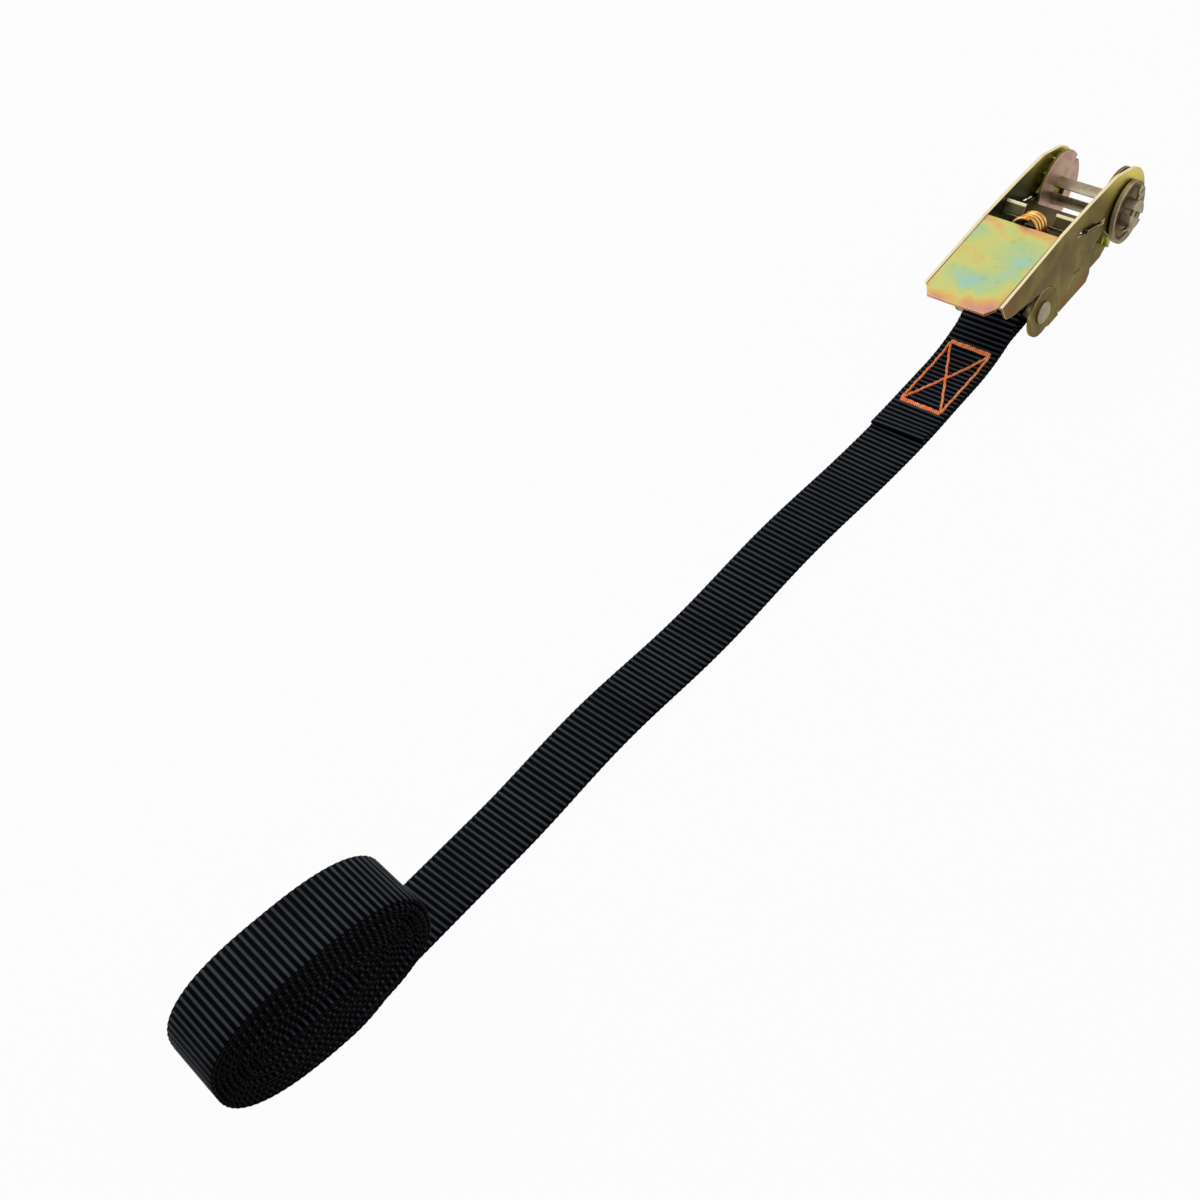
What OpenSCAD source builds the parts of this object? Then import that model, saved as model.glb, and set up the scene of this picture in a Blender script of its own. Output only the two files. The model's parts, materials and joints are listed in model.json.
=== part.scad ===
// Ratchet tie down for 25 mm webbing: zinc plated buckle with its strap.
// Frame: X across the buckle, Y towards the spool end, Z up.
// The origin is on the flat underside of the frame's floor.

/* [Webbing] */
// Width of the webbing
web_w = 25; // [20:0.5:28]
// Thickness of the webbing
web_t = 1.5; // [1:0.1:2]
// Length of the run between the sewn part and the middle of the roll
run_l = 322; // [200:2:500]
// Length of the rolled webbing, end to end
roll_l = 87; // [70:1:120]
// Height of the rolled webbing
roll_h = 52; // [30:2:60]

/* [Frame] */
// Clearance between the webbing and each side plate
web_gap = 0.6; // [0.4:0.1:3]
// Thickness of the frame's sheet
frame_t = 1.3; // [1:0.1:1.5]
// Distance from the tail rivet to the spool's axis
axle_gap = 67.5; // [60:0.5:80]
// Height of the spool's axis over the underside
spool_z = 19; // [18.5:0.1:21]
// Radius of the frame's ear round the spool
ear_r = 18.2; // [17.8:0.1:18.4]

/* [Handle] */
// Thickness of the handle's sheet
handle_t = 1.4; // [1:0.1:2]
// Length of the palm plate
palm_l = 51; // [40:1:60]
// Radius of the cheek's round end
cheek_r = 19; // [18:0.1:20]

/* [Spool and pawls] */
// Radius of the ratchet wheel over its teeth
wheel_r = 17; // [16:0.1:17.2]
// Depth of a tooth
tooth_h = 3.4; // [2.5:0.1:3.4]
// Thickness of a ratchet wheel
wheel_t = 1.6; // [1.2:0.1:2]
// Radius of the two half pins together
pin_r = 6.2; // [5:0.1:7]
// Width of the webbing slot between the half pins
slot_w = 2.6; // [2:0.1:3]
// Radius of the dished end cap
cap_r = 14; // [11:0.2:14.6]
// Thickness of the pawls
pawl_t = 1.8; // [1.5:0.1:2]

/* [Hidden] */
$fn = 64;

gap = 0.3;                              // side clearance between moving sheets
fit = 0.08;                             // radial clearance of the spool's bearings
teeth = 12;
pitch = 360 / teeth;
drive_a = 161;                          // direction of the drive pawl, seen from the spool
lock_a = drive_a + pitch;               // direction of the lock pawl
slot_a = 140;                           // direction of the webbing slot

// Layers from the middle outwards
frame_x = web_w / 2 + web_gap;
wheel_x = frame_x + frame_t + gap;
cheek_x = wheel_x + wheel_t + gap;
outer_x = cheek_x + handle_t;
hub_x = outer_x + gap;
hub_t = 0.6;
cap_x = hub_x + hub_t;
cap_t = 2;
tail_x = outer_x - frame_t;             // the tail plates stand outside the cheeks' edge
pin_x = cap_x + cap_t + 3.6;            // end of the half pins
split_x = cap_x + cap_t + 1.7;          // middle of the split pin

// Places along the buckle
tail_y = -axle_gap / 2;
spool_y = axle_gap / 2;
tail_z = 11.5;
tail_r = 11;
joggle_y = tail_y + 7;                  // the side plates step outwards here
joggle_top = 19.5;
tail_far = 56.8;                        // end of a tail plate, from the spool's axis
cheek_far = 56.2;                       // cheek's edge beside it
cheek_nick = [-6, 12.7];                // where that edge begins, from the rivet
floor_y0 = tail_y + 8;
floor_y1 = spool_y - 22;
floor_hole = 5;
side_top = 21.5;
side_rise = [24, 14, 4];                // its back rises between these places, by the last
low_r = 14.5;                           // radius of the ear's lower side, inside the teeth
notch_a = 24;                           // direction of the ear's notch

// Pawl and wheel
root_r = wheel_r - tooth_h;
reach = 0.3;                            // pawl tip over the root of a tooth
clear_tip = 0.5;                        // drive pawl tip over the teeth at rest
drive_tip = wheel_r + clear_tip;
drive_in = drive_tip - root_r - reach;  // travel from rest into the teeth
drive_out = 5;
lock_tip = root_r + reach;
lock_out = 5;
drive_wing = [26, 36.5];                // the drive pawl's wings, from the spool's axis
drive_back = 45.5;
tab_h = 5.5;                            // height of its finger tabs
tab_x = 7;
drive_seat = 58.3;                      // lip that carries the drive spring
lock_front = 19.5;
lock_back = 27;
lock_seat = 33.5;                       // end of the windows that carry the lock springs
wing_r0 = lock_tip + 3.3;
wing_r1 = wing_r0 + 3.8;
prong_x = wheel_x + 0.05;
prong_w = wheel_t - 0.1;

// Handle
palm_over = 13;                         // the palm plate's back edge, from the tail rivet
palm_y1 = tail_y + palm_over;
palm_y0 = palm_y1 - palm_l;
palm_z0 = 38;
palm_z1 = 41;
cheek_front = palm_y0 + 4;
cheek_chin = [[3.5, -8], [8, -10]];     // corners below the cheek's front end
lance = [[21, 8.5], [26.5, 14], [26, 13.6], [32, 12]];
lance_w = 1.1;
lip_w = 12;
lip_z = [-2.2, 5.5];                    // the spring lip's ends, from the drive ray

// Springs
drive_coil = [4.2, 0.6, 5];             // middle radius, wire radius, turns
lock_coil = [2.2, 0.38, 8];
coil_clear = 0.1;                       // between a spring and its seats

// Tail rivet and its sleeve
rivet_r = 2.5;
sleeve_r = 4.5;
head_r = 5;
head_h = 1.8;

// Webbing route
eye_r = sleeve_r + gap;
sewn_y0 = tail_y - 17;
sewn_y1 = tail_y - 84;
roll_y = sewn_y1 - run_l;
run_a = -2.4;                           // the run's turn to the side
roll_n = 2.5;                           // power of the roll's outline
roll_a = -5;                            // the roll's own turn
roll_x = 2.4;                           // and its step to the side

function polar(r, a) = [r * cos(a), r * sin(a)];
function polar_arc(r, a0, a1, n) = [for (i = [0:n]) polar(r, a0 + (a1 - a0) * i / n)];
function move2(list, at) = [for (p = list) p + at];

// Closes half an outline, from one point on the middle line to another, with its mirror image.
function mirrored(half) = concat(half, [for (i = [len(half) - 2:-1:1]) [-half[i][0], half[i][1]]]);
axis = [spool_y, spool_z];

// ---------- helpers ----------

// Extrudes a profile drawn in Y and Z along X, from x0 over w.
module across(x0, w) {
    translate([x0, 0, 0]) rotate([90, 0, 90]) linear_extrude(w) children();
}

// Repeats its children on the other side of the middle plane.
module both_sides() {
    children();
    mirror([1, 0, 0]) children();
}

// A bored or solid cylinder along X.
module barrel(x0, w, r, at) {
    translate([x0, at[0], at[1]]) rotate([0, 90, 0]) cylinder(h = w, r = r);
}

// Turns its children so that local Y points away from the spool at angle a.
module on_ray(a) {
    translate([0, spool_y, spool_z]) rotate([a, 0, 0]) children();
}

// A slot with a straight run between two points of a profile.
module groove(p, q, w) {
    d = q - p;
    translate(p) rotate(atan2(d[1], d[0])) translate([0, -w / 2]) square([norm(d), w]);
}

// ---------- frame ----------

// Side plate: straight back and the ear round the spool,
// cut back below so that the teeth stand free.
module side_outline() {
    polygon([
        [joggle_y + frame_t / 2, 0], [spool_y - 11, 0],
        axis + polar(low_r - 0.5, 262), axis, [spool_y - side_rise[1], side_top + side_rise[2]],
        [spool_y - side_rise[0], side_top], [joggle_y + frame_t / 2, joggle_top - frame_t / 2]
    ]);
    translate(axis) {
        circle(r = low_r);
        polygon(concat([[0, 0]], polar_arc(ear_r, -18, 180, 33)));
    }
}

// Notch in the ear that holds the opened handle, over a short stop.
module ear_notch() {
    translate(axis) rotate(notch_a) translate([ear_r - 1.6, -1.6]) square([4, 3.2]);
}

// Window for the lock pawl's wing and its spring, with a tongue that carries the coil.
module lock_window() {
    slide_h = pawl_t + 2 * gap;
    coil_h = 2 * (lock_coil[0] + lock_coil[1]) + 2 * gap;
    translate(axis) rotate(lock_a) difference() {
        union() {
            translate([wing_r0 - gap, -slide_h / 2]) square([8, slide_h]);
            translate([wing_r1 + gap, -coil_h / 2]) square([lock_seat - wing_r1 - gap, coil_h]);
        }
        translate([lock_seat - 5, -1.4]) square([6, 2.8]);
    }
}

module side_plate() {
    difference() {
        across(frame_x, frame_t) difference() {
            side_outline();
            ear_notch();
            lock_window();
        }
        barrel(frame_x - 1, frame_t + 2, pin_r + fit, axis);
    }
}

// Tail plate: a round end for the rivet, set outwards by a joggle to lie
// level with the cheek, which ends in an arc round the spool beside it.
module tail_plate() {
    tail = [tail_y, tail_z];
    difference() {
        across(tail_x, frame_t) {
            translate(tail) circle(r = tail_r);
            polygon(concat(
                [tail, tail + polar(tail_r - 0.2, 285), [tail_y + 6, 0]],
                move2(polar_arc(tail_far, 199.5, 188.5, 6), axis)
            ));
        }
        barrel(tail_x - 1, frame_t + 2, rivet_r + fit, tail);
    }
    translate([frame_x, joggle_y, 0]) cube([outer_x - frame_x, frame_t, joggle_top]);
}

// The floor joins the side plates; a hole lightens it.
module frame_floor() {
    difference() {
        translate([-frame_x - frame_t / 2, floor_y0, 0])
            cube([2 * frame_x + frame_t, floor_y1 - floor_y0, frame_t]);
        translate([0, (floor_y0 + floor_y1) / 2 - 8, -1]) cylinder(h = frame_t + 2, r = floor_hole);
    }
}

module frame() {
    color([0.62, 0.58, 0.36]) {
        both_sides() side_plate();
        both_sides() tail_plate();
        frame_floor();
    }
}

module tail_rivet() {
    color([0.72, 0.68, 0.5]) {
        barrel(-outer_x, 2 * outer_x, rivet_r, [tail_y, tail_z]);
        both_sides() translate([outer_x, tail_y, tail_z]) rotate([0, 90, 0])
            rotate_extrude() polygon([
                [0, 0], [head_r, 0], [head_r, head_h * 0.35],
                [head_r * 0.8, head_h * 0.8], [head_r * 0.45, head_h], [0, head_h]
            ]);
    }
}

module tail_sleeve() {
    color([0.6, 0.6, 0.55]) difference() {
        barrel(-tail_x + gap, 2 * (tail_x - gap), sleeve_r, [tail_y, tail_z]);
        barrel(-tail_x, 2 * tail_x, rivet_r + fit, [tail_y, tail_z]);
    }
}

// ---------- handle ----------

// Cheek: front under the palm plate, top edge, round end, and an edge cut back
// so that the teeth and the lock pawl stay open to view.
module cheek_outline() {
    polygon(concat(
        [
            [cheek_front, palm_z0], [cheek_front, palm_z0] + cheek_chin[0],
            [cheek_front, palm_z0] + cheek_chin[1], [tail_y, tail_z] + cheek_nick
        ],
        move2(polar_arc(tail_r + 0.5, 100, 6, 12), [tail_y, tail_z]),
        move2(polar_arc(cheek_far, 188, 198.7, 6), axis),
        [
            [spool_y - 30, 1], [spool_y - 27.5, 4], [spool_y - 27, 17.2],
            [spool_y - 17, 19.5], [spool_y - 10, 12]
        ],
        move2([polar(10.5, 235), polar(10.5, 270), polar(11.5, 300)], axis),
        move2(polar_arc(cheek_r, -19, 72, 24), axis),
        [[spool_y - 8, palm_z1 + 0.4], [spool_y - 30, palm_z1 + 0.8], [palm_y1, palm_z1 + 0.5]]
    ));
}

// Slot that lets the drive pawl's wings slide to and from the spool.
module drive_slot() {
    slot_r0 = drive_wing[0] - drive_in - 3.9;
    slot_r1 = drive_wing[1] + drive_out + 1.5;
    translate(axis) rotate(drive_a) translate([slot_r0, -pawl_t / 2 - gap])
        square([slot_r1 - slot_r0, pawl_t + 2 * gap]);
}

// Lanced hook in the cheek.
module cheek_lance() {
    translate([tail_y, 0]) groove(lance[0], lance[1], lance_w);
    translate([tail_y, 0]) groove(lance[2], lance[3], lance_w);
}

module cheek() {
    difference() {
        across(cheek_x, handle_t) difference() {
            cheek_outline();
            drive_slot();
            cheek_lance();
        }
        barrel(cheek_x - 1, handle_t + 2, pin_r + fit, axis);
    }
}

// Palm plate with clipped front corners, set between the cheeks.
module palm_plate() {
    rise = atan2(palm_z1 - palm_z0, palm_l);
    translate([0, palm_y0, palm_z0 - handle_t]) rotate([rise, 0, 0]) linear_extrude(handle_t)
        polygon([
            [-cheek_x + 3.5, -2], [cheek_x - 3.5, -2], [cheek_x - 0.6, 2.5], [cheek_x - 0.6, 4],
            [cheek_x + 0.2, 4], [cheek_x + 0.2, palm_l], [-cheek_x - 0.2, palm_l],
            [-cheek_x - 0.2, 4], [-cheek_x + 0.6, 4], [-cheek_x + 0.6, 2.5]
        ]);
}

// Lip bent down from the palm plate's back edge; it carries the drive spring.
module spring_lip() {
    on_ray(drive_a) translate([-lip_w / 2, drive_seat, lip_z[0]])
        cube([lip_w, handle_t, lip_z[1] - lip_z[0]]);
}

module handle() {
    color([0.74, 0.72, 0.42]) {
        both_sides() cheek();
        palm_plate();
        spring_lip();
    }
}

// ---------- pawls and springs ----------

// Drive pawl: two prongs outside the ears, wings through the cheeks,
// a tongue inside the spring and two finger tabs turned up at the back.
module drive_pawl() {
    mouth = ear_r + drive_in + 0.7;
    wing_x = outer_x + 1.4;
    tongue = 3;
    half = [
        [0, 25], [frame_x - 3.5, 25], [frame_x - 1, mouth], [prong_x, mouth], [prong_x, drive_tip],
        [prong_x + prong_w, drive_tip], [prong_x + prong_w, drive_wing[0]],
        [wing_x, drive_wing[0] + 1], [wing_x, drive_wing[1]], [cheek_x - gap, drive_wing[1]],
        [cheek_x - gap, drive_back], [tongue, drive_back], [tongue, drive_back + 5], [0, drive_back + 5]
    ];
    color([0.55, 0.5, 0.32]) {
        on_ray(drive_a) translate([0, 0, -pawl_t / 2]) linear_extrude(pawl_t) polygon(mirrored(half));
        both_sides() on_ray(drive_a) translate([tab_x, drive_back - pawl_t, -pawl_t / 2])
            rotate([drive_a - 180, 0, 0]) mirror([0, 0, 1])
                translate([0, 0, -0.2]) cube([cheek_x - gap - tab_x, pawl_t, tab_h]);
    }
}

// Lock pawl: a plate between the side plates, wings through their windows
// and prongs in the teeth.
module lock_pawl() {
    back_x = frame_x + frame_t / 2 - lock_coil[0] - lock_coil[1] - gap;
    half = [
        [0, lock_front], [frame_x - 4, lock_front], [frame_x - 1.3, wing_r0], [prong_x, wing_r0],
        [prong_x, lock_tip], [prong_x + prong_w, lock_tip], [prong_x + prong_w, wing_r1],
        [back_x, wing_r1], [back_x, lock_back], [0, lock_back]
    ];
    color([0.6, 0.5, 0.42]) on_ray(lock_a) translate([0, 0, -pawl_t / 2])
        linear_extrude(pawl_t) polygon(mirrored(half));
}

// Compression spring along local Y between two seats: a round wire swept along a helix.
module coil(spec, seat0, seat1) {
    r = spec[0];
    wire = spec[1];
    start = seat0 + coil_clear + wire;
    len = seat1 - seat0 - 2 * (coil_clear + wire);
    turns = spec[2];
    per = 12;
    side = 6;
    rings = turns * per;
    function place(i) = [r * cos(i * 360 / per), start + len * i / rings, r * sin(i * 360 / per)];
    function out(i) = [cos(i * 360 / per), 0, sin(i * 360 / per)];
    pts = [for (i = [0:rings]) for (k = [0:side - 1])
        place(i) + wire * (cos(k * 360 / side) * out(i) + sin(k * 360 / side) * [0, 1, 0])];
    walls = [for (i = [0:rings - 1]) for (k = [0:side - 1])
        [i * side + k, i * side + (k + 1) % side, (i + 1) * side + (k + 1) % side, (i + 1) * side + k]];
    caps = [[for (k = [side - 1:-1:0]) k], [for (k = [0:side - 1]) rings * side + k]];
    polyhedron(points = pts, faces = concat(walls, caps));
}

module drive_spring() {
    color([0.8, 0.6, 0.3]) on_ray(drive_a) coil(drive_coil, drive_back, drive_seat);
}

module lock_spring() {
    color([0.8, 0.6, 0.3]) on_ray(lock_a) translate([frame_x + frame_t / 2, 0, 0])
        coil(lock_coil, wing_r1, lock_seat);
}

// ---------- spool ----------

// Half of a round bar, flat side to the webbing slot; k is 1 above and -1 below.
module half_round(k, grow) {
    difference() {
        intersection() {
            barrel(-pin_x, 2 * pin_x, pin_r + grow, axis);
            translate([-pin_x, spool_y, spool_z]) rotate([slot_a, 0, 0])
                translate([0, -10, k > 0 ? -10 : slot_w / 2 - grow])
                    cube([2 * pin_x, 20, 10 - slot_w / 2 + grow]);
        }
        if (grow == 0) both_sides() translate([split_x, spool_y, spool_z])
            rotate([slot_a, 0, 0]) cylinder(h = 30, r = 1.05, center = true);
    }
}

module half_pin(k) {
    color([0.62, 0.6, 0.52]) half_round(k, 0);
}

// Ratchet tooth: flat root, sloped back and a radial front.
function tooth(a) = [
    polar(root_r, a), polar(root_r, a + 7), polar(root_r, a + 14),
    polar(wheel_r, a + 27.5), polar(wheel_r, a + pitch)
];

module ratchet_wheel() {
    first = drive_a - 7;
    color([0.7, 0.68, 0.3]) difference() {
        across(wheel_x, wheel_t) translate(axis)
            polygon([for (i = [0:teeth - 1]) each tooth(first + i * pitch)]);
        half_round(1, 0.05);
        half_round(-1, 0.05);
    }
}

module hub_washer() {
    color([0.5, 0.48, 0.42]) difference() {
        barrel(hub_x, hub_t, 9, axis);
        half_round(1, 0.05);
        half_round(-1, 0.05);
    }
}

// End cap: a dished disc with a turned-up rim.
module end_cap() {
    rim = 1.5;
    color([0.66, 0.6, 0.5]) difference() {
        translate([cap_x, spool_y, spool_z]) rotate([0, 90, 0]) rotate_extrude()
            polygon([[0, 0], [cap_r, 0], [cap_r, cap_t], [cap_r - rim, cap_t],
                [cap_r - rim - 0.4, cap_t / 2], [0, cap_t / 2]]);
        half_round(1, 0.05);
        half_round(-1, 0.05);
    }
}

// Split pin through both half pins: shank, eye and two legs turned apart.
module split_pin() {
    shank = 0.95;
    half = pin_r + 0.4;
    eye = 1.9;
    color([0.6, 0.58, 0.5]) translate([split_x, spool_y, spool_z]) rotate([slot_a, 0, 0]) {
        translate([0, 0, -half - 1.2]) cylinder(h = 2 * half + 1.6, r = shank);
        translate([0, 0, -half - 1.2 - eye]) rotate([0, 90, 0])
            rotate_extrude() translate([eye, 0]) circle(r = 0.8, $fn = 16);
        for (s = [-1, 1]) translate([0, s * 0.3, half + 0.1]) rotate([s * -68, 0, 0])
            translate([-0.6, -0.45, 0]) cube([1.2, 0.9, 4.6]);
    }
}

// ---------- webbing ----------

// Webbing laid along a route in Y and Z, given by its underside.
module laid(route, t) {
    top = [for (i = [len(route) - 1:-1:0]) route[i] + [0, t]];
    across(-web_w / 2, web_w) polygon(concat(route, top));
}

// Eye round the sleeve, closing to the doubled webbing.
module strap_eye() {
    mouth = [sewn_y0 + gap, 4.6];
    color([0.1, 0.1, 0.11]) across(-web_w / 2, web_w) difference() {
        hull() {
            translate([tail_y, tail_z]) circle(r = eye_r + web_t);
            translate(mouth) square([0.5, 2 * web_t]);
        }
        hull() {
            translate([tail_y, tail_z]) circle(r = eye_r);
            translate(mouth + [3.5, web_t]) square([0.4, 0.3]);
        }
    }
}

// The doubled, sewn stretch comes down to the ground.
sewn_route = [
    for (i = [0:12]) let (s = i / 12)
        [sewn_y0 + (sewn_y1 - sewn_y0) * s, 4.6 * pow(max(0, 1 - 2.6 * s), 2)]
];

module strap_sewn() {
    color([0.1, 0.1, 0.11]) laid(sewn_route, 2 * web_t);
}

// The single run has two low waves and lies flat before the roll.
function wave(s) = 3.2 * pow(sin(360 * s), 2) * (1 - s) + 1.2 * pow(sin(180 * s), 2) * s;

// The roll's outline, and its half width where the run's upper side meets it.
function signed(v, e) = sign(v) * pow(abs(v), e);
function roll_point(a) = [signed(cos(a), 2 / roll_n) * roll_l / 2, signed(sin(a), 2 / roll_n) * roll_h / 2];
roll_low = 1 - 2 * (web_t + gap) / roll_h;
roll_gap = roll_l / 2 * pow(1 - pow(roll_low, roll_n), 1 / roll_n) + web_w / 2 * sin(-roll_a) + gap;

module turned_run() {
    translate([0, sewn_y1, 0]) rotate([0, 0, run_a]) translate([0, -sewn_y1, 0]) children();
}

module strap_run() {
    count = 36;
    color([0.1, 0.1, 0.11]) turned_run() laid([
        for (i = [0:count]) let (s = i / count)
            [sewn_y1 - gap + (roll_y + roll_gap - sewn_y1 + gap) * s, wave(s)]
    ], web_t);
}

module strap_roll() {
    count = 96;
    color([0.08, 0.08, 0.09]) turned_run() translate([roll_x, roll_y, roll_h / 2]) rotate([0, 0, roll_a])
        across(-web_w / 2, web_w) polygon([for (i = [0:count - 1]) roll_point((i + 0.5) * 360 / count)]);
}

frame();
tail_rivet();
tail_sleeve();
handle();
drive_pawl();
drive_spring();
lock_pawl();
mirror([1, 0, 0]) lock_spring();  // lock_spring_left
lock_spring();  // lock_spring_right
half_pin(1);  // half_pin_upper
half_pin(-1);  // half_pin_lower
mirror([1, 0, 0]) ratchet_wheel();  // ratchet_wheel_left
ratchet_wheel();  // ratchet_wheel_right
mirror([1, 0, 0]) hub_washer();  // hub_washer_left
hub_washer();  // hub_washer_right
mirror([1, 0, 0]) end_cap();  // end_cap_left
end_cap();  // end_cap_right
mirror([1, 0, 0]) split_pin();  // split_pin_left
split_pin();  // split_pin_right
strap_eye();
strap_sewn();
strap_run();
strap_roll();
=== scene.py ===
import json
import math

import bpy
import numpy as np
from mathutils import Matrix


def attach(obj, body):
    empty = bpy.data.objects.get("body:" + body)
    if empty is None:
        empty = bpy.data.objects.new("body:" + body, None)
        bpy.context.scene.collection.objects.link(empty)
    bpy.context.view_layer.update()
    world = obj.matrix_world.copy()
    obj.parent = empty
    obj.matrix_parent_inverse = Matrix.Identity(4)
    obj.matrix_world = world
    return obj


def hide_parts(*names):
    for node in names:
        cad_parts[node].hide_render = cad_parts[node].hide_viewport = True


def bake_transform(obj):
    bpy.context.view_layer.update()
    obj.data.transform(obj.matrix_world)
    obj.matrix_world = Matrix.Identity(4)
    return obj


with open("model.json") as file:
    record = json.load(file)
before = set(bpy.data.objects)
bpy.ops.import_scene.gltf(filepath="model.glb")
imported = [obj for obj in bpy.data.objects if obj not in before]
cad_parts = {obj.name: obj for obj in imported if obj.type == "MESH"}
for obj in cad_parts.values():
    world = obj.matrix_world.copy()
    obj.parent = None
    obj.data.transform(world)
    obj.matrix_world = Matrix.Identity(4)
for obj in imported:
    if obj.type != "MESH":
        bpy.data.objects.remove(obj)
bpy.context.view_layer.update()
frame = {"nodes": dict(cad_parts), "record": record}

# The part's own measures, in metres, repeated for the pieces made here.
WEB_W, WEB_T = 0.025, 0.0015
TAIL = np.array([-0.03375, 0.0115])   # Y and Z of the tail rivet
SPOOL = np.array([0.03375, 0.019])    # Y and Z of the spool's axis
SLEEVE_R = 0.0045
SEWN_Y0, SEWN_Y1 = -0.05075, -0.11775
SEWN_LIFT = 0.0046                # how high the sewn part starts
EYE_L, BEND_L = 0.026, 0.049      # the eye's length, and that of the bend into the run
RUN_L, RUN_TURN = 0.322, math.radians(-2.4)
ROLL_L, ROLL_H, ROLL_POWER = 0.087, 0.052, 2.5
ROLL_TURN, ROLL_STEP = math.radians(-5), 0.0024
ROLL_Y = SEWN_Y1 - RUN_L
RUN_Y1 = ROLL_Y + 0.0225          # the run has no waves beyond the roll's foot
DRIVE_RAY, LOCK_RAY = math.radians(161), math.radians(191)
PALM_Y0, PALM_Y1, PALM_X = -0.07175, -0.02075, 0.0166
SEAM_X = 0.01655                  # the palm plate meets the cheeks
# DISH_R and GROOVE_R place the painted shade in the end caps' dish.
DISH_R, GROOVE_R = 0.0121, 0.01   # the end caps' dish, and where its dark groove begins
EDGE_R = 0.0005                   # what the plates' edges are worn round to

# Springs: the distances of their two seats from the spool's axis along the pawl's
# ray, then their middle radius, wire radius and open turns
DRIVE_SEATS, DRIVE_COIL = (0.0455, 0.0583), (0.0056, 0.00086, 3.2)
LOCK_SEATS, LOCK_COIL = (0.0210, 0.0335), (0.0022, 0.00038, 8)
LOCK_X = 0.0131 + 0.00065         # middle of each side plate

# The sewn box, and the thread's stitch length and radius
BOX_X, BOX_Y0, BOX_Y1 = 0.0093, -0.0615, -0.0995
SECOND_ROW = 0.0009               # the short sides are sewn twice
STITCH, THREAD_R = 0.0031, 0.00058

# The webbing's weave
RIB = 0.0025                      # from one rib to the next
RINGS = 6                         # rings of points to a rib
CORE_T, RIB_T = 0.00055, 0.00014  # half thickness in a groove, and a rib's height
RIB_SIDE = 0.00015                # how far a rib stands out at the two edges
CUT_LIFT, CUT_L = 0.0008, 0.011   # how high the cut end lifts, and over what length
TURNS, TURN_STEP = 11.9, 0.00196  # turns of the roll, and the step from one to the next
WARP, TWIST = 0.00062, 0.0011     # from one warp end to the next, and the thread's twist


# ---------- surfaces ----------

def ease(value, low, high):
    """0 below low, 1 above high, and 3t^2 - 2t^3 between them."""
    t = np.clip((value - low) / (high - low), 0, 1)
    return t * t * (3 - 2 * t)


def even_steps(points, step):
    """The points of a path again, one step apart along it, with the distance run at each."""
    run = np.concatenate([[0], np.cumsum(np.linalg.norm(np.diff(points, axis=0), axis=1))])
    at = np.arange(int(run[-1] / step) + 1) * step
    return np.stack([np.interp(at, run, column) for column in points.T], axis=1), at


def smoothed(points, reach, step):
    """Each point's mean with its neighbours within reach, the near ones weighing most
    (1 + cos), on a path of even steps. The two ends stay."""
    n = max(1, int(reach / step))
    kernel = np.hanning(2 * n + 3)[1:-1]
    kernel /= kernel.sum()
    padded = np.concatenate([np.repeat(points[:1], n, 0), points, np.repeat(points[-1:], n, 0)])
    mean = np.stack([np.convolve(column, kernel, "valid") for column in padded.T], axis=1)
    mean[0], mean[-1] = points[0], points[-1]
    return mean


def put_mesh(name, grid, across=None, along=None):
    """A closed tube from grid[ring, point, xyz], its ends shut by one face each.
    across and along, in metres, give the map that a woven pattern follows."""
    rings, around = grid.shape[:2]
    ring = np.arange(rings - 1)[:, None] * around
    here, on = np.arange(around)[None, :], (np.arange(around)[None, :] + 1) % around
    quads = np.stack([ring + here, ring + on, ring + around + on, ring + around + here], axis=2)
    faces = quads.reshape(-1, 4).tolist()
    faces += [list(range(around))[::-1], [(rings - 1) * around + k for k in range(around)]]
    mesh = bpy.data.meshes.new(name)
    mesh.from_pydata(grid.reshape(-1, 3), [], faces)
    if across is not None:
        corner = np.zeros(len(mesh.loops), np.int32)
        mesh.loops.foreach_get("vertex_index", corner)
        flat = np.stack([np.broadcast_to(across, (rings, around)),
                         np.broadcast_to(along[:, None], (rings, around))], axis=2)
        layer = mesh.uv_layers.new(name="cloth")
        layer.data.foreach_set("uv", flat.reshape(-1, 2)[corner].astype(np.float32).ravel())
    mesh.polygons.foreach_set("use_smooth", np.ones(len(mesh.polygons), bool))
    mesh.update()
    piece = bpy.data.objects.new(name, mesh)
    bpy.context.scene.collection.objects.link(piece)
    return piece


def wire_along(centre, up, radius, sides):
    """Round wire on a path: centre + r (cos k * side + sin k * up'), where side is
    the path's direction crossed with up, and up' squares the two."""
    ahead = np.gradient(centre, axis=0)
    ahead /= np.linalg.norm(ahead, axis=1)[:, None]
    side = np.cross(ahead, up)
    side /= np.linalg.norm(side, axis=1)[:, None]
    rise = np.cross(side, ahead)
    k = (np.arange(sides) * 2 * math.pi / sides)[None, :, None]
    radius = np.broadcast_to(radius, len(centre))[:, None, None]
    return centre[:, None] + radius * (np.cos(k) * side[:, None] + np.sin(k) * rise[:, None])


# ---------- webbing ----------

def sewn_under(y):
    """Underside of the doubled part: 4.6 mm (1 - 2.6 s)^2 until it reaches the ground."""
    s = (y - SEWN_Y0) / (SEWN_Y1 - SEWN_Y0)
    return SEWN_LIFT * np.maximum(0, 1 - 2.6 * s) ** 2


def run_under(y):
    """Underside of the run: two low waves, (1.8 mm + 2 mm s) sin^2(pi (s - 0.05) / 0.37)."""
    s = np.clip((y - SEWN_Y1) / (RUN_Y1 - SEWN_Y1), 0.05, 0.79)
    return (0.0018 + 0.0020 * s) * np.sin(math.pi * (s - 0.05) / 0.37) ** 2


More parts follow.
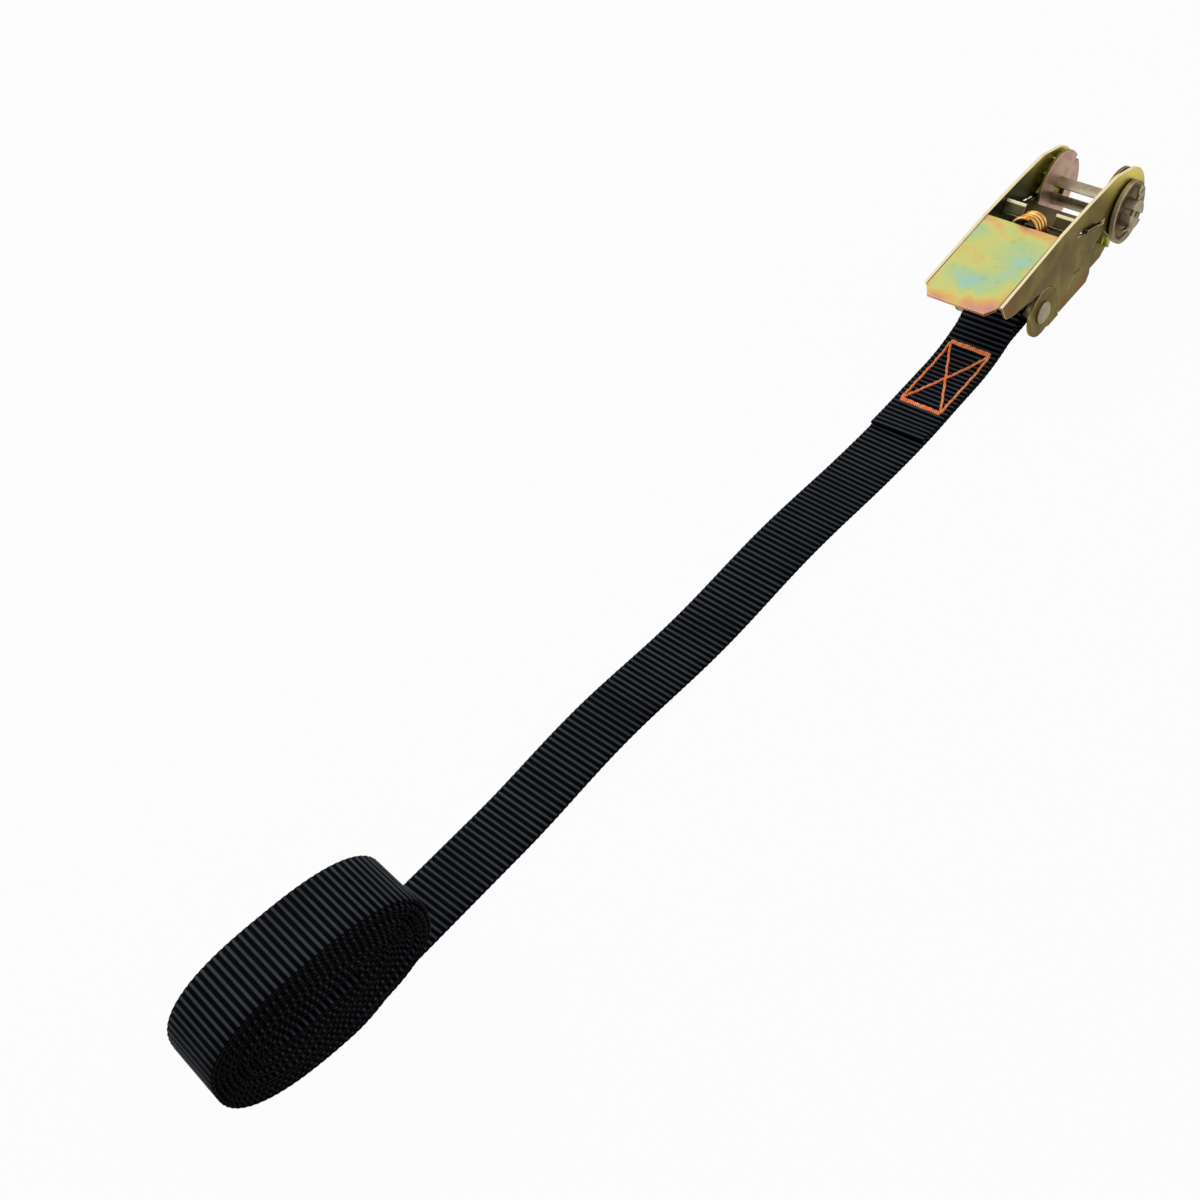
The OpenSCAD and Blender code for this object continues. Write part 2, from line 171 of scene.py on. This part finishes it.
def roll_turns():
    """The roll: angle f runs backwards from the bottom, on a rounded oblong
    |y/a|^2.5 + |z/b|^2.5 = 1 whose half axes shrink by one step a turn."""
    turned = np.linspace(0, 2 * math.pi * TURNS, 9000)
    angle = -math.pi / 2 - turned
    inset = WEB_T / 2 + TURN_STEP * turned / (2 * math.pi)
    power = 2 / ROLL_POWER
    y = (ROLL_L / 2 - inset) * np.sign(np.cos(angle)) * np.abs(np.cos(angle)) ** power
    z = (ROLL_H / 2 - inset) * np.sign(np.sin(angle)) * np.abs(np.sin(angle)) ** power
    return np.stack([ROLL_Y + y, ROLL_H / 2 + z], axis=1)


def webbing_route():
    """The webbing's middle line in Y and Z: cut end and upper layer of the sewn part, eye
    round the sleeve on the two tangents to it, lower layer, run and roll."""
    high = np.linspace(SEWN_Y1, SEWN_Y0, 200)
    low = high[::-1]
    radius = SLEEVE_R + WEB_T / 2 + 0.0001
    mouth = np.array([[SEWN_Y0, sewn_under(SEWN_Y0) + k * WEB_T] for k in (1.5, 0.5)])
    to_tail = TAIL - mouth
    reach = np.hypot(*to_tail.T)
    aim = np.arctan2(to_tail[:, 1], to_tail[:, 0])
    lean = np.arcsin(radius / reach)
    start, stop = aim[0] + lean[0] + math.pi / 2, aim[1] - lean[1] - math.pi / 2
    eye = np.linspace(start, stop, 120)
    eye = TAIL + radius * np.stack([np.cos(eye), np.sin(eye)], axis=1)
    run = np.linspace(SEWN_Y1, ROLL_Y, 900)[1:]
    return np.concatenate([
        np.stack([high, sewn_under(high) + 1.5 * WEB_T], axis=1),
        eye,
        np.stack([low, sewn_under(low) + 0.5 * WEB_T], axis=1),
        np.stack([run, run_under(run) + 0.5 * WEB_T], axis=1),
        roll_turns()[1:],
    ])


def turned(point, angle, pivot_y, step=0.0):
    """Points turned about a vertical line at x 0 and pivot_y, then moved a step to the side."""
    x, y = point[..., 0], point[..., 1] - pivot_y
    c, s = math.cos(angle), math.sin(angle)
    return np.stack([step + x * c - y * s, pivot_y + x * s + y * c, point[..., 2]], axis=-1)


def make_webbing():
    """One length of webbing: at distance s along its middle line, a flat section
    with rounded edges, thicker on each rib by |sin(pi s / rib)|^0.7."""
    step = RIB / RINGS
    route, _ = even_steps(webbing_route(), step / 3)
    route, run = even_steps(smoothed(route, 0.0012, step / 3), step)
    crest = np.abs(np.sin(math.pi * run / RIB)) ** 0.7
    half_t = CORE_T + RIB_T * crest
    half_w = WEB_W / 2 - RIB_SIDE + RIB_SIDE * crest
    upper = np.array([-0.975, -0.6, -0.2, 0.2, 0.6, 0.975])
    across = np.concatenate([upper, [1, 1], upper[::-1], [-1, -1]])
    height = np.concatenate([np.ones(6), [0.45, -0.45], -np.ones(6), [-0.45, 0.45]])
    ahead = np.gradient(route, axis=0)
    ahead /= np.linalg.norm(ahead, axis=1)[:, None]
    normal = np.stack([-ahead[:, 1], ahead[:, 0]], axis=1)
    grid = np.empty((len(run), len(across), 3))
    grid[..., 0] = half_w[:, None] * across
    grid[..., 1:] = route[:, None] + normal[:, None] * (half_t[:, None] * height)[..., None]

    # The layers in the roll don't end level with each other.
    into_roll = 1 + np.searchsorted(run, run[-1] - ROLL_RUN)
    wound = np.clip((run - run[into_roll]) / ROLL_RUN, 0, 1)
    uneven = 0.00035 * np.sin(41 * wound) + 0.00028 * np.sin(97 * wound + 1.3) - 0.0006 * wound
    grid[..., 0] += (uneven * ease(wound, 0, 0.05))[:, None]

    # The cut end lifts a little, most at its right corner.
    lift = CUT_LIFT * (1 - ease(run, 0, CUT_L))
    grid[..., 2] += lift[:, None] * (1 + 0.6 * across)

    on_run = ease(run, SEWN_RUN, SEWN_RUN + BEND_L)[:, None, None]
    on_roll = ease(run, run[into_roll] - 0.03, run[into_roll])[:, None, None]
    grid = grid + (turned(grid, ROLL_TURN, ROLL_Y, ROLL_STEP) - grid) * on_roll
    grid = grid + (turned(grid, RUN_TURN, SEWN_Y1) - grid) * on_run
    piece = put_mesh("webbing", grid, across * WEB_W / 2, run)
    return piece, run[-1]


def path_length(points):
    """Length of a path of points."""
    return float(np.linalg.norm(np.diff(points, axis=0), axis=1).sum())


ROLL_RUN = path_length(roll_turns())
layer_y = np.linspace(SEWN_Y1, SEWN_Y0, 100)
layer_run = path_length(np.stack([layer_y, sewn_under(layer_y)], axis=1))
SEWN_RUN = 2 * layer_run + EYE_L   # from here on it bends to the run's direction


def sewn_top(y):
    """Upper side of the sewn part, under the thread."""
    return sewn_under(y) + 1.5 * WEB_T + CORE_T + RIB_T


def make_thread(name, corners, lanes):
    """Lockstitch along straight seams, on one or more lanes beside each: the thread
    rises over each stitch and dips at its ends, 0.42 mm |sin(pi s / stitch)|^0.5 - 0.30 mm,
    and is thinnest there."""
    tubes = []
    seams = [(a, b, lane) for a, b, beside in zip(corners, corners[1:], lanes) for lane in beside]
    for a, b, lane in seams:
        a, b = np.array(a, float), np.array(b, float)
        length = np.linalg.norm(b - a)
        count = max(1, round(length / STITCH))
        s = np.linspace(0, 1, count * 12 + 1)
        off = np.array([-(b - a)[1], (b - a)[0]]) / length
        lane_at = lane + 0.00010 * np.sin(2 * math.pi * s * count / 2.7 + lane * 9000)
        flat = a + (b - a) * s[:, None] + off * lane_at[:, None]
        high = np.abs(np.sin(math.pi * s * count)) ** 0.5
        z = sewn_top(flat[:, 1]) + 0.00042 * high - 0.00030
        centre = np.stack([flat[:, 0], flat[:, 1], z], axis=1)
        tube = wire_along(centre, np.array([0, 0, 1.0]), THREAD_R * (0.72 + 0.28 * high), 8)
        tubes.append(put_mesh(name + "_part", tube))
    return joined(name, tubes)


def joined(name, parts):
    """Several new pieces as one mesh."""
    bpy.ops.object.select_all(action="DESELECT")
    for part in parts:
        part.select_set(True)
    bpy.context.view_layer.objects.active = parts[0]
    bpy.ops.object.join()
    parts[0].name = parts[0].data.name = name
    return parts[0]


# ---------- springs ----------

def make_spring(name, ray, seats, coil, x):
    """Compression spring on a ray from the spool: a round wire on a helix, the last
    0.8 of a turn at each end climbing only one wire's thickness to a turn."""
    (seat0, seat1), (radius, wire, turns), flat = seats, coil, 0.8
    total = turns + 2 * flat
    t = np.linspace(0, total, int(total * 40))
    climb = 2 * wire * flat
    span = seat1 - seat0 - 2 * wire - 2 * climb
    rise = np.interp(t, [0, flat, total - flat, total], [0, climb, climb + span, span + 2 * climb])
    rise = seat0 + wire + smoothed(rise[:, None], 6, 1)[:, 0]
    along = np.array([0, math.cos(ray), math.sin(ray)])
    up = np.array([0, -math.sin(ray), math.cos(ray)])
    side = np.array([1.0, 0, 0])
    spin = 2 * math.pi * t
    radial = np.cos(spin)[:, None] * side + np.sin(spin)[:, None] * up
    centre = np.array([x, *SPOOL]) + rise[:, None] * along + radius * radial
    return put_mesh(name, wire_along(centre, radial, wire, 10))


# ---------- materials ----------

def shade(r, g, b):
    """A colour as it looks on a screen, 0 to 255, as a linear one."""
    c = np.array([r, g, b]) / 255
    linear = np.where(c <= 0.04045, c / 12.92, ((c + 0.055) / 1.055) ** 2.4)
    return (*linear.tolist(), 1.0)


class Wire:
    """A socket in a node tree; its operators add Math nodes, with numbers on either side."""

    def __init__(self, graph, socket):
        self.graph, self.socket = graph, socket

    def math(self, operation, *values):
        sockets = dict(enumerate(values))
        return self.graph.node("ShaderNodeMath", {"operation": operation}, sockets)[0]

    def __add__(self, other):
        return self.math("ADD", self, other)

    def __sub__(self, other):
        return self.math("SUBTRACT", self, other)

    def __rsub__(self, other):
        return self.math("SUBTRACT", other, self)

    def __mul__(self, other):
        return self.math("MULTIPLY", self, other)

    def __abs__(self):
        return self.math("ABSOLUTE", self)

    __radd__, __rmul__ = __add__, __mul__

    def sine(self):
        return self.math("SINE", self)

    def root(self):
        return self.math("POWER", self, 0.5)

    def least(self, other):
        return self.math("MINIMUM", self, other)

    def ease(self, low, high):
        """0 at low, 1 at high, smooth between."""
        settings = {"interpolation_type": "SMOOTHSTEP"}
        return self.graph.node("ShaderNodeMapRange", settings, {0: self, 1: low, 2: high})[0]


class Outputs:
    """A node's outputs as wires."""

    def __init__(self, graph, made):
        self.graph, self.made = graph, made

    def __getitem__(self, key):
        return Wire(self.graph, self.made.outputs[key])


class Graph:
    """A node tree. node() adds one node: its type, its settings, then the values or
    wires of its sockets."""

    def __init__(self, tree):
        self.tree = tree

    def node(self, kind, settings=(), sockets=()):
        made = self.tree.nodes.new(kind)
        for key, value in dict(settings).items():
            if key == "stops":
                elements = made.color_ramp.elements
                elements.remove(elements[1])
                elements[0].position, elements[0].color = value[0]
                for at, colour in value[1:]:
                    elements.new(at).color = colour
            else:
                setattr(made, key, value)
        for key, value in dict(sockets).items():
            self.give(made.inputs[key], value)
        return Outputs(self, made)

    def give(self, socket, value):
        """A wire or a plain value into a socket."""
        if isinstance(value, Wire):
            self.tree.links.new(value.socket, socket)
        else:
            socket.default_value = value

    def looked_at(self):
        """1 where this is seen, straight or in or through something, 0 where it lights things."""
        ray = self.node("ShaderNodeLightPath")
        return (ray["Is Camera Ray"] + ray["Is Glossy Ray"] + ray["Is Transmission Ray"]).least(1.0)


class Finish(Graph):
    """A material on one Principled shader; fixed holds what is the same all over."""

    def __init__(self, name, **fixed):
        self.material = bpy.data.materials.new(name)
        self.material.use_nodes = True
        super().__init__(self.material.node_tree)
        self.shader = self.tree.nodes["Principled BSDF"]
        self.feed(**fixed)
        spot = self.node("ShaderNodeTexCoord")
        self.place, self.facing, self.uv = spot["Object"], spot["Normal"], spot["UV"]

    def feed(self, **values):
        for key, value in values.items():
            self.give(self.shader.inputs[key.replace("_", " ")], value)

    def axes(self, vector):
        parts = self.node("ShaderNodeSeparateXYZ", {}, {0: vector})
        return parts[0], parts[1], parts[2]

    def noise(self, scale, detail=3, distortion=0.0, stretch=None):
        at = self.place
        if stretch:
            at = self.node("ShaderNodeMapping", {}, {"Vector": at, "Scale": stretch})[0]
        sockets = {"Vector": at, "Scale": scale, "Detail": detail, "Distortion": distortion}
        return self.node("ShaderNodeTexNoise", {}, sockets)[0]

    def mix(self, factor, a, b):
        return self.node("ShaderNodeMix", {"data_type": "RGBA"}, {0: factor, 6: a, 7: b})[2]

    def ramp(self, factor, stops):
        return self.node("ShaderNodeValToRGB", {"stops": stops}, {0: factor})[0]

    def bump(self, height, distance, strength, **normal):
        sockets = {"Height": height, "Distance": distance, "Strength": strength, **normal}
        return self.node("ShaderNodeBump", {}, sockets)["Normal"]


YELLOW, GREEN, BLUE = shade(206, 204, 124), shade(186, 202, 136), shade(160, 200, 180)
PINK, ORANGE = shade(206, 138, 142), shade(222, 174, 104)
OLIVE, UMBER, RUST = shade(96, 86, 36), shade(78, 64, 28), shade(116, 66, 34)
EDGE_TINT = (0.84, 0.77, 0.66, 1.0)   # what the plates reflect at a low angle
# The last colour, a near-black brown, serves both random grime and painted shade: in the bend line,
# the caps' dishes and between spring coils.
CREAM, GOLD, SHADE_AND_GRIME = shade(238, 222, 180), shade(222, 206, 106), shade(34, 26, 18)


def zinc(name, film, outer, inner, roughness, scale, film_at=None, piece_light_and_colour=None):
    """Passivated zinc plate. The film's colour runs through a band of stops by its thickness, which
    drifts slowly over the sheet: one band for what faces up, one for the outer flanks and one for
    the inner ones. The flank bands are darker, partly from the film's own colour and partly as
    painted shade on the sides. Edges get a painted highlight high up and painted shade low down.
    film_at and the last argument add what belongs to one piece only, including painted highlight
    and shade."""
    f = Finish(name, Metallic=0.93, Specular_Tint=EDGE_TINT)
    x, y, z = f.axes(f.place)
    across, _, _ = f.axes(f.facing)
    drift = f.noise(scale, 1.6, 0.5)
    fine = f.noise(scale * 5, 3, 0.4)
    rounded = f.node("ShaderNodeBevel", {"samples": 4}, {"Radius": EDGE_R})[0]
    sharp = f.node("ShaderNodeNewGeometry")["Normal"]
    level = f.node("ShaderNodeVectorMath", {"operation": "DOT_PRODUCT"}, {0: rounded, 1: sharp})
    edge = (1 - level["Value"]).ease(0.01, 0.14)
    thick = drift * 0.92 + fine * 0.08
    outward = (across * x).ease(-0.002, 0.002)
    flank = f.mix(outward, f.ramp(thick, inner), f.ramp(thick, outer))
    top = f.ramp(film_at(f, thick, x, y) if film_at else thick, film)
    if piece_light_and_colour:
        top, flank = piece_light_and_colour(f, top, flank, x, y, z)
    # Sideways faces take the flank bands, which are darker than the top band: partly the film's own
    # colour, partly painted shade on the sides.
    colour = f.mix(abs(across).ease(0.45, 0.85), top, flank)
    # Painted highlight and shade on the edges: cream on the upper ones, umber on the lower ones.
    worn = f.mix(z.ease(0.014, 0.024), UMBER, CREAM)
    colour = f.mix(edge * 0.55, colour, worn)
    grime = f.noise(260, 6, 0.2).ease(0.56, 0.74) * 0.12
    colour = f.mix(grime, colour, SHADE_AND_GRIME)
    brushed = f.noise(900, 3, 0.0, stretch=(1, 0.06, 1))
    f.feed(Base_Color=colour,
           Roughness=roughness + drift * 0.12 + brushed * 0.10 + grime * 0.5,
           Normal=f.bump(brushed * 0.6 + fine * 0.4, 0.00004, 0.5, Normal=rounded))
    return f.material


def palm_film(f, thick, x, y):
    """The film thins out to orange at the palm plate's back edge and to pink at its
    front edge and right corner, and only to yellow at its sides."""
    ragged = f.noise(230, 3, 0.8) * 0.006 - 0.003
    back = (PALM_Y1 - y + ragged).ease(-0.001, 0.0105)
    front = (y - PALM_Y0 + ragged - (x - 0.002) * 0.24).ease(-0.003, 0.0100)
    side = (PALM_X - abs(x) + ragged).ease(-0.004, 0.0045)
    return thick * 0.80 + back * 0.25 + front * 0.32 + side * 0.11 - 0.435


def handle_colour_and_light(f, top, flank, x, y, z):
    """A painted highlight along the cheek rims, and painted shade in a dark line inside them where
    the palm plate begins. The cheeks turn gold at the spool end and rusty along their foot and
    front."""
    # Painted highlight: the rims outside SEAM_X are cream.
    top = f.mix(abs(x).ease(SEAM_X, SEAM_X + 0.00012), top, CREAM)
    # Painted shade: a dark line just inside the rims, along the palm plate's bend.
    seam = (1 - abs(abs(x) - SEAM_X).ease(0.00014, 0.00036)) * (PALM_Y1 - y).ease(0, 0.0004)
    top = f.mix(seam * 0.85, top, SHADE_AND_GRIME)
    flank = f.mix((z + y * 0.5).ease(0.036, 0.058) * y.ease(0.0, 0.036), flank, GOLD)
    flank = f.mix((0.012 - z).ease(0.0, 0.010) * 0.55, flank, RUST)
    flank = f.mix((-0.044 - y).ease(0.0, 0.02) * 0.7, flank, RUST)
    return top, flank


def above_ray(ray, y, z):
    """Height over the plane through the spool's axis and a pawl's ray."""
    return (y - SPOOL[0]) * math.sin(ray) - (z - SPOOL[1]) * math.cos(ray)


def pawl_lit_tops(f, top, flank, x, y, z):
    """The raised tabs get a painted highlight, pale cream, along their tops."""
    return f.mix(above_ray(DRIVE_RAY, y, z).ease(0.0051, 0.0055) * 0.9, top, CREAM), flank


def cap_dish_shade(f, top, flank, x, y, z):
    """The end caps get painted shade in the dish, darkest where it meets the turned-up rim."""
    off_y, off_z = y - SPOOL[0], z - SPOOL[1]
    radius = (off_y * off_y + off_z * off_z).root()
    dish = radius.ease(DISH_R + 0.0004, DISH_R)
    groove = radius.ease(GROOVE_R, DISH_R - 0.0003)
    return top, f.mix(dish * (0.50 + 0.45 * groove), flank, SHADE_AND_GRIME)


def webbing_cloth():
    """Black ribbed webbing: each rib is packed weft under fine warp ends. A painted highlight makes
    each crest paler and a little blue, the grooves keep painted shade, and the two selvedges get
    painted shade."""
    f = Finish("webbing", Metallic=0.0, Specular_IOR_Level=0.02)
    u, v, _ = f.axes(f.uv)
    crest = abs((v * (math.pi / RIB)).sine())
    ends = (u * (2 * math.pi / WARP)).sine()
    pick = (v * (2 * math.pi / RIB)).sine()
    warp = ends * 0.5 + 0.5
    lint = f.noise(420, 5, 0.3)
    worn = f.noise(26, 3, 0.8)
    # Painted shade on the two edges.
    side_shade = abs(u).ease(0.0121, 0.0125)
    # Painted highlight on each rib's crest and painted shade in the grooves, with the warp pattern,
    # wear and lint over them.
    crest_light_and_wear = crest.ease(0.58, 1.0) * (0.55 + 0.3 * warp) * (0.55 + 0.9 * worn)
    crest_light_and_wear = crest_light_and_wear * (0.8 + 0.4 * lint) * (1 - 0.65 * side_shade)
    colour = f.ramp(crest_light_and_wear, band_cloth)
    f.feed(Base_Color=colour, Roughness=0.62 - 0.16 * crest + 0.1 * lint,
           Normal=f.bump(warp * 0.5 + ends * pick * 0.25 + lint * 0.3, 0.00012, 0.8))
    return f.material


def thread_twist():
    """Orange polyester thread: two plies twisted together, fuzzy and faded in places."""
    f = Finish("thread", Metallic=0.0, Specular_IOR_Level=0.15)
    x, y, _ = f.axes(f.place)
    ply = ((x + y) * (2 * math.pi / TWIST)).sine() * 0.5 + 0.5
    fuzz = f.noise(900, 4)
    worn = f.noise(120, 2)
    colour = f.ramp(ply * 0.4 + worn * 0.5 + fuzz * 0.15, band_thread)
    f.feed(Base_Color=colour, Roughness=0.6 + 0.15 * fuzz,
           Normal=f.bump(ply + fuzz * 0.4, 0.00015, 0.8))
    return f.material


def bright_wire(name, ray=None, middle=0.0, wire=0.0):
    """Gilt spring wire, passivated, with a fine grain. On a spring round a ray from the spool, the
    wire's inner side gets painted shade, dark between the coils."""
    f = Finish(name, Metallic=0.9)
    drift = f.noise(160, 3, 0.6)
    colour = f.ramp(drift, band_gilt)
    if ray is not None:
        x, y, z = f.axes(f.place)
        off = above_ray(ray, y, z)
        # Painted shade on the inside of the coil.
        inner = 1 - (x * x + off * off).root().ease(middle - 0.3 * wire, middle + 0.6 * wire)
        colour = f.mix(inner * 0.85, colour, SHADE_AND_GRIME)
    f.feed(Base_Color=colour, Roughness=0.24 + 0.2 * drift,
           Normal=f.bump(f.noise(1500, 2), 0.00003, 0.4))
    return f.material


def band(*stops):
    """Stops of a colour ramp: a place, then a colour or its red, green and blue."""
    return [(at, shade(*colour) if len(colour) == 3 else colour[0]) for at, *colour in stops]


film_palm = band((0.24, PINK), (0.38, ORANGE), (0.50, YELLOW), (0.61, GREEN), (0.74, BLUE))
film_low = band((0.34, UMBER), (0.48, OLIVE), (0.60, 112, 104, 48), (0.72, RUST))
# Painted shade on the handle's inner flanks, between the cheeks.
film_inner_shade = band((0.34, 58, 56, 32), (0.50, 82, 86, 50), (0.66, 70, 92, 66))
film_bar = band((0.30, 124, 108, 88), (0.48, 154, 142, 122),
                (0.62, 166, 158, 132), (0.76, 150, 120, 102))
film_cap = band((0.30, 104, 78, 52), (0.48, 132, 108, 80),
                (0.62, 150, 134, 104), (0.76, 120, 88, 66))
film_green = band((0.30, OLIVE), (0.46, 164, 166, 78),
                  (0.60, 198, 204, 104), (0.76, 150, 176, 120))
film_rim = band((0.30, UMBER), (0.48, 128, 106, 60), (0.62, 168, 158, 84), (0.76, 132, 92, 62))
# Painted shade: this dark band colours the pawl inside the handle and the caps' sides towards the
# cheeks.
film_dark_shade = band((0.34, 52, 44, 30), (0.50, 78, 70, 42), (0.66, 92, 88, 62))
film_ear = band((0.30, 158, 124, 112), (0.48, 190, 156, 146),
                (0.62, 176, 160, 128), (0.76, 150, 104, 88))
# The pale blue top of this band is the crests' painted highlight.
band_cloth = band((0.0, 1, 1, 2), (0.30, 6, 6, 8), (0.80, 66, 71, 80))
band_thread = band((0.2, 240, 90, 36), (0.5, 255, 134, 68), (0.8, 255, 206, 150))
band_gilt = band((0.3, 140, 88, 36), (0.5, 206, 150, 72), (0.72, 246, 208, 132))

finishes = {
    "frame_zinc": zinc("frame_zinc", film_rim, film_low, film_ear, 0.3, 90),
    "handle_zinc": zinc("handle_zinc", film_palm, film_low, film_inner_shade, 0.26, 58,
                        film_at=palm_film, piece_light_and_colour=handle_colour_and_light),
    "pawl_zinc": zinc("pawl_zinc", film_dark_shade, film_dark_shade, film_dark_shade, 0.34, 110, piece_light_and_colour=pawl_lit_tops),
    "wheel_zinc": zinc("wheel_zinc", film_green, film_green, film_green, 0.3, 150),
    "cap_zinc": zinc("cap_zinc", film_bar, film_cap, film_dark_shade, 0.3, 120, piece_light_and_colour=cap_dish_shade),
    "pin_zinc": zinc("pin_zinc", film_bar, film_bar, film_bar, 0.34, 140),
    "spring_wire": bright_wire("spring_wire"),
    "webbing": webbing_cloth(),
}
drive_wire = bright_wire("drive_wire", DRIVE_RAY, *DRIVE_COIL[:2])
for part in frame["record"]["subparts"]:
    mesh = frame["nodes"][part["node"]].data
    mesh.materials.clear()
    mesh.materials.append(finishes[part["material_slot"]])

# ---------- pieces ----------

webbing, web_length = make_webbing()
webbing.data.materials.append(finishes["webbing"])
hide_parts("strap_eye", "strap_sewn", "strap_run", "strap_roll")
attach(webbing, "frame_body")

near_left, near_right = (-BOX_X, BOX_Y0), (BOX_X, BOX_Y0)
far_left, far_right = (-BOX_X, BOX_Y1), (BOX_X, BOX_Y1)
single, double = (0.0,), (0.0, SECOND_ROW)   # rows of stitches beside a seam
box = make_thread("box_stitch",
                  [near_left, near_right, far_right, far_left, near_left, far_right],
                  [double, single, double, single, single])
cross = make_thread("cross_stitch", [near_right, far_left], [single])
orange = thread_twist()
for seam in (box, cross):
    seam.data.materials.append(orange)
    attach(seam, "frame_body")


def ray_point(ray, distance, x):
    """The point at a distance from the spool's axis on a ray."""
    return (x, SPOOL[0] + distance * math.cos(ray), SPOOL[1] + distance * math.sin(ray))


drive = (DRIVE_RAY, DRIVE_SEATS, DRIVE_COIL)
lock = (LOCK_RAY, LOCK_SEATS, LOCK_COIL)
small_wire = finishes["spring_wire"]
for name, body, pawl, (ray, seats, coil), x, wire in (
    ("drive_spring", "handle_body", "drive_pawl_body", drive, 0.0, drive_wire),
    ("lock_spring_left", "frame_body", "lock_pawl_body", lock, -LOCK_X, small_wire),
    ("lock_spring_right", "frame_body", "lock_pawl_body", lock, LOCK_X, small_wire),
):
    spring = make_spring(name + "_wire", ray, seats, coil, x)
    spring.data.materials.append(wire)
    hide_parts(name)
    ray_point(ray, seats[1], x)
    ray_point(ray, seats[0], x)
    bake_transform(spring)

# ---------- floor, light and camera ----------

MIDDLE = np.array([0, -0.2, 0])     # of the strap
FLOOR_DROP = np.array([0, 0, 0.0001])
CAMERA_AT, CAMERA_TURN = (0.2781, -0.5345, 0.4809), (41.23, 8.608, 39.406)   # metres, degrees

bpy.ops.mesh.primitive_plane_add(size=8, location=MIDDLE - FLOOR_DROP)
floor = bpy.context.object
floor.name = "floor"
paper = Finish("paper", Base_Color=(0.5, 0.5, 0.5, 1), Roughness=0.9, Specular_IOR_Level=0.1)
white = paper.node("ShaderNodeEmission", {}, {"Color": (1, 1, 1, 1), "Strength": 1.0})[0]
lit = Wire(paper, paper.shader.outputs[0])
veil = paper.node("ShaderNodeMixShader", {}, {0: paper.looked_at() * 0.96, 1: lit, 2: white})[0]
paper.give(paper.tree.nodes["Material Output"].inputs["Surface"], veil)
floor.data.materials.append(paper.material)

world = bpy.data.worlds.new("studio")
bpy.context.scene.world = world
world.use_nodes = True
studio = Graph(world.node_tree)
sky = studio.tree.nodes["Background"]
studio.give(sky.inputs["Color"], (1, 1, 1, 1))
studio.give(sky.inputs["Strength"], studio.looked_at() * 0.5 + 0.5)


def softbox(name, place, size, power):
    """A square lamp at a place, facing the middle of the strap."""
    lamp = bpy.data.lights.new(name, "AREA")
    lamp.size, lamp.energy = size, power
    holder = bpy.data.objects.new(name, lamp)
    bpy.context.scene.collection.objects.link(holder)
    holder.location = place
    x, y, z = np.array(place) - MIDDLE
    holder.rotation_euler = (math.atan2(math.hypot(x, y), z), 0, math.atan2(y, x) + math.pi / 2)


softbox("key", (-0.85, -0.25, 1.0), 0.7, 6.5)
softbox("fill", (0.7, 0.5, 0.9), 0.9, 2)

lens = bpy.data.cameras.new("camera")
lens.lens, lens.sensor_width = 50, 36
camera = bpy.data.objects.new("camera", lens)
bpy.context.scene.collection.objects.link(camera)
camera.location = CAMERA_AT
camera.rotation_euler = [math.radians(angle) for angle in CAMERA_TURN]
bpy.context.scene.camera = camera
bpy.context.scene.view_settings.view_transform = "Standard"
